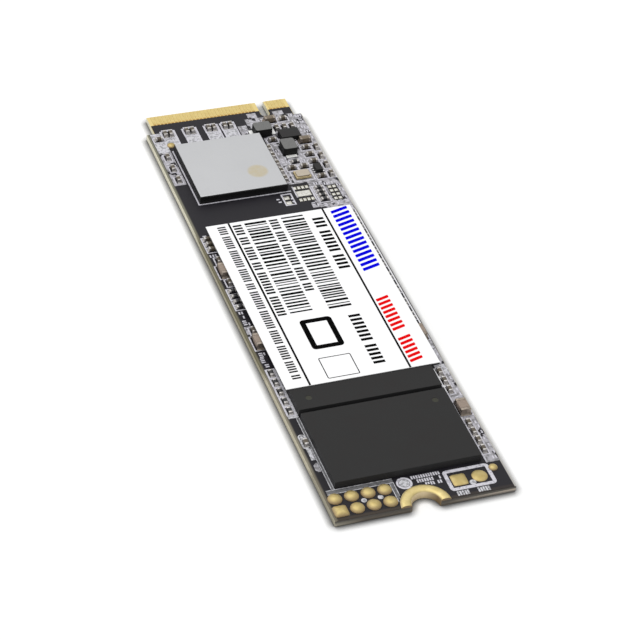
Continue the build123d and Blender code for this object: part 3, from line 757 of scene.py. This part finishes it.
for middle in labelPrint["rules"]["across"]:
    half = labelPrint["rules"]["width"] / 2
    ends = (labelPrint["margin"], film[3] - film[1] - labelPrint["margin"])
    printAt("black", (middle - half, middle + half), ends)
printBars(labelPrint["bars"])
for across, (first, last, pitch) in labelPrint["rows"].items():
    printRow(across, first, last, pitch, labelPrint["stroke"])
for down, (line, corner) in labelPrint["frames"].items():
    printAt("black", labelPrint["frameAcross"], down, line=line, corner=corner)
slant = labelPrint["slant"]
for (first, last), (across, count, tint) in labelPrint["slanted"].items():
    pitch = (last - first) / count
    for index in range(count):
        at = first + index * pitch
        end = at + pitch * slant["share"]
        printAt(tint, across, (at, end), corner=slant["corner"], lean=slant["lean"])
for tint, bm in prints.items():
    finishPiece(f"{tint}Print", bm, printFinish(f"{tint}Ink", inks[tint]))
print("label printed")


# Legend ink on the lacquer, cut away round everything that stands on the board

legendInk = {
    "fresh": {"rise": 0.016, "clear": 0.03, "finish": legendFresh},
    "line": {"rise": 0.014, "clear": 0.03, "finish": legendLine},
    "faint": {"rise": 0.012, "clear": 0.05, "finish": legendFaint},
    "faded": {"rise": 0.010, "clear": 0.05, "finish": legendFaded},
    "field": {"rise": 0.008, "clear": 0.07, "finish": legendField},
}
sliver = 0.05  # a cut this close to another one is left out
standing = (
    "controller_body", "memory_chip_1", "memory_chip_2", "cache_chip", "inductor_cores",
    "inductor_terminals", "power_chip", "power_chip_leads", "crystal_base", "monitor_chip", "monitor_leads",
    "spare_lands", "test_pads", "link_pads", "probe_pads", "mounting_hole_plating",
)


def groundBoxes(nodeName, slices=6):  # ground a node's solids take; a round one in slices across
    boxes = []
    isHalf = nodeName == "mounting_hole_plating"
    for low, high in solidBoxes(nodeName):
        x0, y0, x1, y1 = flat(low, high)
        if not isHalf and (isSquareLand(nodeName, low) or not nodeName.endswith("_pads")):
            boxes.append((x0, y0, x1, y1))
            continue
        middle, radius, step = (x0 + x1) / 2, (x1 - x0) / 2, (y1 - y0) / slices
        centre = y0 if isHalf else (y0 + y1) / 2
        for bottom in (y0 + step * index for index in range(slices)):
            away = max(bottom - centre, centre - bottom - step, 0)
            half = math.sqrt(radius ** 2 - away ** 2)
            boxes.append((middle - half, bottom, middle + half, bottom + step))
    return boxes


def openGround():  # no lacquer: beside the tab, and in the key slot, the widest gap between the contacts
    contacts = [flat(*box) for box in solidBoxes("edge_contacts_top")]
    gaps = [(b[0] - a[2], a[2], b[0]) for a, b in zip(contacts, contacts[1:])]
    _, slotLeft, slotRight = max(gaps)
    near, far, side = contacts[0][1], contacts[0][3], contacts[-1][2]
    tab = {"side": 0.4, "shoulder": 1.95, "slot": 1.5}  # measured from the contacts
    edge = cadBox[1].x / mm
    return [
        (-edge, near - tab["shoulder"], -side - tab["side"], far),
        (side + tab["side"], near - tab["shoulder"], edge, far),
        (slotLeft, near - tab["slot"], slotRight, far),
    ]


def around(boxes):  # one box round several
    sides = list(zip(*boxes))
    return (min(sides[0]), min(sides[1]), max(sides[2]), max(sides[3]))


spareRight = 6.6  # between the lands of the spare chip and those of the spare array
arrayRoom = (0.12, 0.1)  # bare lacquer round the lands of the array
groundTaken = [box for nodeName in standing for box in groundBoxes(nodeName)] + filletBoxes + openGround()
arrayLands = [box for box in groundBoxes("spare_lands") if box[0] > spareRight]
groundTaken.append(grownBox(around(arrayLands), *arrayRoom))
strips = {kind: [] for kind in legendInk}
legendMeshes = {kind: bmesh.new() for kind in legendInk}
sideLimit = cadBox[1].x / mm - 0.1  # ink ends a little short of the edge


def meets(a, b, gap=0.0):
    return a[0] < b[2] + gap and b[0] < a[2] + gap and a[1] < b[3] + gap and b[1] < a[3] + gap


def addStrip(kind, x0, y0, x1, y1):  # kept on the board
    strips[kind].append((max(x0, -sideLimit), y0, min(x1, sideLimit), y1))


def shifted(x, y, box):  # a box given from one point
    return (x + box[0], y + box[1], x + box[2], y + box[3])


def addFrame(kind, box, line):
    x0, y0, x1, y1 = max(box[0], -sideLimit), box[1], min(box[2], sideLimit), box[3]
    addStrip(kind, x0, y0, x0 + line, y1)
    addStrip(kind, x1 - line, y0, x1, y1)
    addStrip(kind, x0, y0, x1, y0 + line)
    addStrip(kind, x0, y1 - line, x1, y1)


def addBand(box, edge, isUpright):  # a faded band between two light edges
    addStrip("faded", *box)
    x0, y0, x1, y1 = box
    if isUpright:
        addStrip("faint", x0, y0, x0 + edge, y1)
        addStrip("faint", x1 - edge, y0, x1, y1)
    else:
        addStrip("faint", x0, y0, x1, y0 + edge)
        addStrip("faint", x0, y1 - edge, x1, y1)


def addBlock(box, block):  # faint ground in a line, without its two far corners
    x0, y0, x1, y1 = box
    line, notch = block["line"], block["notch"]
    addStrip("faint", x0, y0, x1, y1 - notch)
    addStrip("faint", x0 + notch, y0, x1 - notch, y1)
    for left in (x0, x1 - line):
        addStrip("line", left, y0, left + line, y1 - notch)
    for near in (y0, y1 - line):
        addStrip("line", x0 + notch, near, x1 - notch, near + line)


def addMarks(area, tries, mark):  # groups of plain strokes wherever there is room
    long, wide, pitch = mark["long"], mark["wide"], mark["pitch"]
    for _ in range(tries):
        x, y = drawn.uniform(area[0], area[2]), drawn.uniform(area[1], area[3])
        isTurned = drawn.random() < mark["turned"]
        for step in (index * pitch for index in range(drawn.randint(*mark["group"]))):
            stroke = (x + step, y, x + step + wide, y + long)
            if isTurned:
                stroke = (x, y - step, x + long, y - step + wide)
            isInside = area[0] < stroke[0] and area[1] < stroke[1]
            isInside = isInside and stroke[2] < area[2] and stroke[3] < area[3]
            others = strips["line"] + groundTaken
            if isInside and not any(meets(stroke, other, mark["room"]) for other in others):
                addStrip("line", *stroke)


def gathered(boxes):  # boxes that touch, in groups
    groups = []
    for box in boxes:
        touching = [group for group in groups if any(meets(box, other) for other in group)]
        groups = [group for group in groups if group not in touching]
        groups.append([box] + [other for group in touching for other in group])
    return groups


def isWithin(point, boxes):
    return any(box[0] < point.x < box[2] and box[1] < point.y < box[3] for box in boxes)


def addInk(bm, group, ink):  # one sheet over a group of strips, cut along them and round what stands there
    span = around(group)
    low, high = Vector((*span[:2], 0)), Vector((*span[2:], 0))
    middle = (low + high) / 2
    clear = ink["clear"]
    holes = [grownBox(box, clear, clear) for box in groundTaken if meets(box, span, clear)]
    sheet = roundedSheet((high - low) * mm, 0, 1)
    bmesh.ops.translate(sheet, vec=(middle.x * mm, middle.y * mm, maskTop), verts=sheet.verts[:])
    for axis in (0, 1):
        cuts = sorted({strip[side] for strip in group for side in (axis, axis + 2)})
        for value in sorted({hole[side] for hole in holes for side in (axis, axis + 2)}):
            if low[axis] < value < high[axis] and all(abs(value - cut) > sliver for cut in cuts):
                cuts.append(value)
        across = Vector((1 - axis, axis, 0))
        for value in cuts:
            every = sheet.verts[:] + sheet.edges[:] + sheet.faces[:]
            on = across * value * mm
            bmesh.ops.bisect_plane(sheet, geom=every, dist=weldGap, plane_co=on, plane_no=across)
    places = {face: face.calc_center_median() / mm for face in sheet.faces}
    bare = [face for face, place in places.items() if not isWithin(place, group) or isWithin(place, holes)]
    while bare:
        bmesh.ops.delete(sheet, geom=bare, context="FACES")
        pinched = [vert for vert in sheet.verts if len(vert.link_faces) == 2 and len(vert.link_edges) == 4]
        bare = list({vert.link_faces[0] for vert in pinched})  # corners that only touch are opened
    if sheet.faces:
        layOn(bm, sheet, ink["rise"])
    else:
        sheet.free()


controller, crystal = flatBox("controller_body"), flatBox("crystal_base")
memoryNear, memoryFar = flatBox("memory_chip_2"), flatBox("memory_chip_1")
testPads, linkPads = flatBox("test_pads"), flatBox("link_pads")

# A frame round every chip part, but a rounded one to the left of the near memory chip
roundFrame = {"box": (-1.3, -4.95, -0.45, -2.5), "corner": 0.4, "line": 0.26}
roundBox = shifted(memoryNear[0], memoryNear[3], roundFrame["box"])
partFrame = {"margin": 0.18, "line": 0.17}
gap = partFrame["margin"] + partFrame["line"]
for box in partBoxes:
    if not meets(box, roundBox):
        addFrame("line", grownBox(box, gap, gap), partFrame["line"])

cornerLine = {"gap": 0.06, "line": 0.2, "past": 0.4}  # along the left and near sides of the controller
outer = grownBox(controller, *[cornerLine["gap"] + cornerLine["line"]] * 2)
addStrip("line", outer[0], outer[1], outer[0] + cornerLine["line"], controller[3])
addStrip("line", outer[0], outer[1], controller[2] + cornerLine["past"], outer[1] + cornerLine["line"])

bandEdge = 0.09
bands = (  # box, and whether it runs along the card: beside the memory, over and beside the test pads
    ((memoryNear[0] - 0.45, memoryNear[1] - 0.1, memoryNear[0] - 0.03, memoryNear[3] + 0.3), True),
    ((testPads[0] + 0.2, testPads[3] + 0.03, testPads[2] + 0.62, testPads[3] + 0.75), False),
    ((testPads[2] + 0.07, testPads[1] + 0.48, testPads[2] + 0.62, testPads[3] + 0.03), True),
)
for box, isUpright in bands:
    addBand(box, bandEdge, isUpright)

mark = {"long": 0.5, "wide": 0.2, "pitch": 0.34, "group": (2, 4), "turned": 0.5, "room": 0.08}
coupling = {  # blocks at the tab, one for every two parts that stand there
    "side": 0.3, "past": 0.5, "near": 1.1, "far": 0.62, "line": 0.22, "notch": 0.26,
    "parts": (-1, 2.5, -2), "tries": 24,  # left, near and right limit, from the controller
}
sides = (controller[0], controller[3], controller[2])
left, near, right = (side + step for side, step in zip(sides, coupling["parts"]))
byTab = sorted(box for box in partBoxes if box[1] > near and left < box[0] < right)
for first, second in zip(byTab[::2], byTab[1::2]):
    block = (first[0] - coupling["side"], controller[3] + coupling["near"])
    block += (second[2] + coupling["past"], second[3] + coupling["far"])
    addBlock(block, coupling)
    addMarks(block, coupling["tries"], mark)

crystalFrame = {"gap": 0.5, "line": 0.22}
addFrame("line", grownBox(crystal, crystalFrame["gap"], crystalFrame["gap"]), crystalFrame["line"])
pairFrame = {  # frame from the near right corner of the controller, strokes in and beside it
    "box": (-1.25, -3.1, 0.25, -0.6), "line": 0.2,
    "stroke": (0, 0, 0.4, 0.24), "places": ((1.45, 17.95), (1.55, 17.35), (3.35, 17.7), (3.35, 17.05)),
}
addFrame("line", shifted(controller[2], controller[1], pairFrame["box"]), pairFrame["line"])
for x, y in pairFrame["places"]:
    addStrip("line", *shifted(x, y, pairFrame["stroke"]))
spareLines = ((4.22, 17.9, 4.42, 20.3), (6.5, 16.8, 6.7, 19.8), (6.5, 19.6, 8.1, 19.8))
for strip in spareLines:  # along the sides of the spare chip
    addStrip("line", *strip)
besideMemory = {"gap": 0.46, "line": 0.18, "fresh": 0.26, "past": 0.5, "under": 0.1}  # right of both chips
lineLeft, lineNear = memoryNear[2] + besideMemory["gap"], memoryNear[1] - besideMemory["past"]
addStrip("line", lineLeft, lineNear, lineLeft + besideMemory["line"], memoryNear[3])
lineFar = film[1] + besideMemory["under"]
addStrip("fresh", lineLeft, memoryNear[3], lineLeft + besideMemory["fresh"], lineFar)
besideFilm = {"from": 10.69, "line": 0.17, "near": 6.0}
filmLine = (besideFilm["from"], besideFilm["from"] + besideFilm["line"])
addStrip("fresh", filmLine[0], film[1] + besideFilm["near"], filmLine[1], film[3])

# Inked ground with marks: kind of ink, box, tries
powerLeft = controller[2] + 0.6
leftRow = (-sideLimit + 0.3, memoryFar[0] - 0.3)
markZones = (
    ("field", (powerLeft, 20.8, sideLimit, 36.3), 330),
    ("field", (spareRight, 15.2, sideLimit, 20.8), 80),
    ("field", (spareRight - 1.0, 15.3, spareRight, 16.7), 14),
    ("field", (spareRight + 0.6, film[3] + 0.1, sideLimit, 15.2), 30),
    ("field", (controller[2] - 2.0, controller[3] + 1.3, controller[2] - 0.8, controller[3] + 3.4), 12),
    ("field", (controller[2] - 0.6, controller[3] + 2.4, powerLeft, 36.3), 12),
    ("field", (powerLeft - 0.6, 36.3, powerLeft + 0.7, 37.5), 10),
    ("field", (powerLeft + 2.8, 36.3, powerLeft + 4.5, 37.3), 10),
    ("field", (leftRow[0], 24.1, controller[0] - 0.45, 31.6), 60),
    ("faint", (leftRow[0], 31.6, controller[0] - 0.45, 35.9), 30),
    ("field", (lineLeft, lineNear, sideLimit, memoryNear[3] - 4.6), 60),
    ("field", (lineLeft, memoryNear[3] - 1.6, sideLimit, film[1] - 0.1), 50),
    ("field", (besideFilm["from"] - 0.4, film[1] + 0.7, sideLimit, film[1] + 5.4), 30),
    ("faint", (lineLeft + 0.3, film[1] - 1.1, sideLimit, film[1] + 0.7), 6),
    ("faint", (leftRow[0], memoryFar[3] - 12.2, memoryFar[0] - 0.04, memoryFar[3] - 3.2), 30),
    ("field", (leftRow[0], -2.3, leftRow[1], 2.1), 20),
    ("field", (leftRow[0], 9.4, leftRow[1], 12.7), 16),
    ("field", (leftRow[0], -6.9, leftRow[1], -5.4), 8),
    ("faint", grownBox(roundBox, -0.2, -0.2), 0),
    ("faint", (roundBox[0] + 0.3, roundBox[1] - 2.0, roundBox[2] - 0.05, roundBox[1]), 8),
    ("field", (roundBox[0] + 0.2, roundBox[1] - 4.0, roundBox[2] - 0.05, roundBox[1] - 2.5), 4),
    (None, (leftRow[0], memoryFar[1] + 6, leftRow[1], film[3]), 160),  # marks on bare lacquer
)
for kind, zone, tries in markZones:
    if kind:
        addStrip(kind, *zone)
    addMarks(zone, tries, mark)

linkFrame = {"reach": (-0.68, -0.72, 0.77, 0.92), "corner": 0.5, "line": 0.46}
linkBox = [side + step for side, step in zip(linkPads, linkFrame["reach"])]


def addRow(kind, left, right, near, stroke):  # a row of equal upright strokes
    for index in range(int((right - left) / stroke["pitch"])):
        x = left + index * stroke["pitch"]
        if drawn.random() >= stroke["skipped"]:
            addStrip(kind, x, near, x + stroke["wide"], near + stroke["long"])


smallRow = {  # rows between the round mark and the frame, each one shorter
    "wide": 0.2, "long": 0.52, "pitch": 0.3, "skipped": 0.12,
    "count": 3, "left": 2.8, "indent": 0.5, "right": 0.1, "near": 0.35, "drop": 0.68,
}
for row in range(smallRow["count"]):
    left = testPads[2] + smallRow["left"] + row * smallRow["indent"]
    near = linkBox[3] - smallRow["near"] - row * smallRow["drop"]
    addRow("line", left, linkBox[0] - smallRow["right"], near, smallRow)
wideRow = {  # two short rows under the frame
    "wide": 0.23, "long": 0.7, "pitch": 0.31, "skipped": 0,
    "starts": (0.5, 3.05), "reach": 1.75, "drop": 0.85,
}
for left in (linkBox[0] + start for start in wideRow["starts"]):
    addRow("faint", left, left + wideRow["reach"], linkBox[1] - wideRow["drop"], wideRow)

for kind, ink in legendInk.items():
    for group in gathered(strips[kind]):
        addInk(legendMeshes[kind], group, ink)


def layFrame(kind, box, corner, line):
    patch(legendMeshes[kind], box, maskTop, legendInk[kind]["rise"], corner=corner, line=line)


def layDisc(kind, middle, radius, line=0.0):
    disc(legendMeshes[kind], middle, radius, maskTop, legendInk[kind]["rise"], line)


layFrame("line", linkBox, linkFrame["corner"], linkFrame["line"])
layFrame("faint", roundBox, roundFrame["corner"], roundFrame["line"])
linkBlot = {"right": 0.14, "far": 0.12, "radius": 0.4}  # between the link pads
blotPlace = ((linkPads[0] + linkPads[2]) / 2 + linkBlot["right"], linkPads[1] + linkBlot["far"])
layDisc("faint", blotPlace, linkBlot["radius"])
roundMark = {"right": 1.77, "near": 0.38, "radius": 0.95, "line": 0.27, "gap": 0.06}
markPlace = (testPads[2] + roundMark["right"], testPads[3] - roundMark["near"])
layDisc("line", markPlace, roundMark["radius"], roundMark["line"])
layDisc("faint", markPlace, roundMark["radius"] - roundMark["line"] - roundMark["gap"])
padBlots = {"across": (3.93, 5.93), "radius": 0.33}  # between the rows of test pads
for across in padBlots["across"]:
    layDisc("faint", (testPads[0] + across, (testPads[1] + testPads[3]) / 2), padBlots["radius"])
for kind, bm in legendMeshes.items():
    finishPiece(f"{kind}Legend", bm, legendInk[kind]["finish"])
print("legend printed:", {kind: len(boxes) for kind, boxes in strips.items()})


# Studio: white floor with a close contact shade, a sky that is brightest far left and above, one wide light

def makeStudio(studio):
    floorMesh = bpy.data.meshes.new("floor")
    bm = bmesh.new()
    bmesh.ops.create_grid(bm, x_segments=1, y_segments=1, size=studio["floorHalf"])
    bm.to_mesh(floorMesh)
    bm.free()
    floor = bpy.data.objects.new("floor", floorMesh)
    bpy.context.scene.collection.objects.link(floor)
    finish, tree, shader, _ = startFinish("floorFinish", 0.9, specular=0.0)
    reach = {"Distance": studio["shadeReach"] * mm}
    shade = addNode(tree, "ShaderNodeAmbientOcclusion", reach, samples=studio["shadeSamples"])
    depth = sums(tree, "POWER", shade.outputs["AO"], studio["shadePower"])
    link(tree, mixed(tree, depth, (0, 0, 0), studio["floorTint"]), shader, "Base Color")
    floorMesh.materials.append(finish)
    world = bpy.data.worlds.new("studio")
    bpy.context.scene.world = world
    world.use_nodes = True
    tree = world.node_tree
    look = tree.nodes.new("ShaderNodeTexCoord").outputs["Generated"]
    lean = addNode(tree, "ShaderNodeVectorMath", {0: look, 1: studio["brightest"]}, operation="DOT_PRODUCT")
    glow = ranged(tree, lean.outputs["Value"], *studio["spread"], *studio["sky"])
    tree.links.new(glow, tree.nodes["Background"].inputs["Strength"])
    tree.nodes["Background"].inputs["Color"].default_value = (1, 1, 1, 1)
    for name, lamp in studio["lamps"].items():
        data = bpy.data.lights.new(name, "AREA")
        data.energy, data.size = lamp["power"], lamp["size"]
        light = bpy.data.objects.new(name, data)
        bpy.context.scene.collection.objects.link(light)
        light.location = lamp["place"]
        light.rotation_mode = "QUATERNION"
        light.rotation_quaternion = (-Vector(lamp["place"])).to_track_quat("-Z", "Y")


makeStudio({
    "floorHalf": 4.0,
    "floorTint": (0.95, 0.95, 0.95),
    "shadeReach": 1.05,
    "shadePower": 2.5,
    "shadeSamples": 16,
    "brightest": (-0.30, 0.45, 0.84),
    "spread": (-0.35, 0.5),
    "sky": (0.13, 1.0),
    "lamps": {"above": {"power": 1.3, "size": 0.6, "place": (-0.12, 0.15, 0.6)}},
})


def makeCamera(view):  # stands back from the aimed point along the view, then rolls
    azimuth, elevation = math.radians(view["azimuth"]), math.radians(view["elevation"])
    level = math.cos(elevation)
    back = Vector((math.sin(azimuth) * level, -math.cos(azimuth) * level, math.sin(elevation)))
    data = bpy.data.cameras.new("camera")
    data.sensor_width = view["sensor"]
    data.lens = view["sensor"] * view["focalPixels"] / view["imagePixels"]
    data.clip_start, data.clip_end = view["clip"]
    camera = bpy.data.objects.new("camera", data)
    bpy.context.scene.collection.objects.link(camera)
    camera.location = Vector(view["aim"]) * mm + back * view["distance"] * mm
    camera.rotation_mode = "QUATERNION"
    aimed = (-back).to_track_quat("-Z", "Y")
    camera.rotation_quaternion = aimed @ Quaternion((0, 0, 1), math.radians(view["roll"]))
    bpy.context.scene.camera = camera


makeCamera({
    "azimuth": -22.607,
    "elevation": 39.781,
    "roll": 5.237,
    "distance": 290.45,
    "aim": (-0.7156, -5.5357, 0),
    "sensor": 36,
    "focalPixels": 2354.03,
    "imagePixels": 640,
    "clip": (0.01, 20),
})
bpy.context.scene.view_settings.view_transform = "Standard"
print("studio and camera ready")
